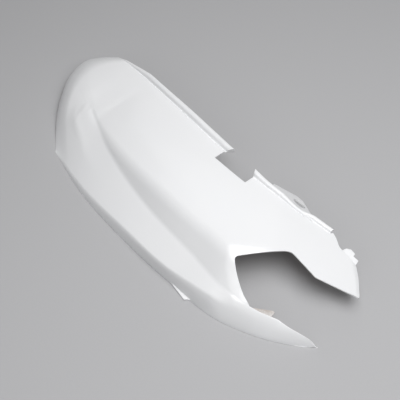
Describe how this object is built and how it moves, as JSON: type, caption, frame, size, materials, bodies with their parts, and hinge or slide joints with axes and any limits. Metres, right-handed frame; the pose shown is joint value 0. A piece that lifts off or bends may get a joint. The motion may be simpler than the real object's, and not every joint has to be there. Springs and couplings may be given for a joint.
{
  "type": "scooter rear side panel",
  "caption": "Moulded body panel from the rear of a scooter: a long curved shell with a raised seat lip, a forked front end, a fixing ear with a round hole and a locating lug.",
  "frame": {"origin": "under the middle of the panel's box, on the surface that it lies on face up", "axes": "+X from the rounded tail to the two front prongs, +Y from the lower rim to the seat edge, +Z out of the painted face"},
  "size_m": [0.693, 0.2518, 0.0724],
  "materials": {
    "painted_shell": "glossy white paint on moulded plastic, bare inside"
  },
  "bodies": {
    "root": {"side_panel": "painted_shell"}
  },
  "joints": []
}
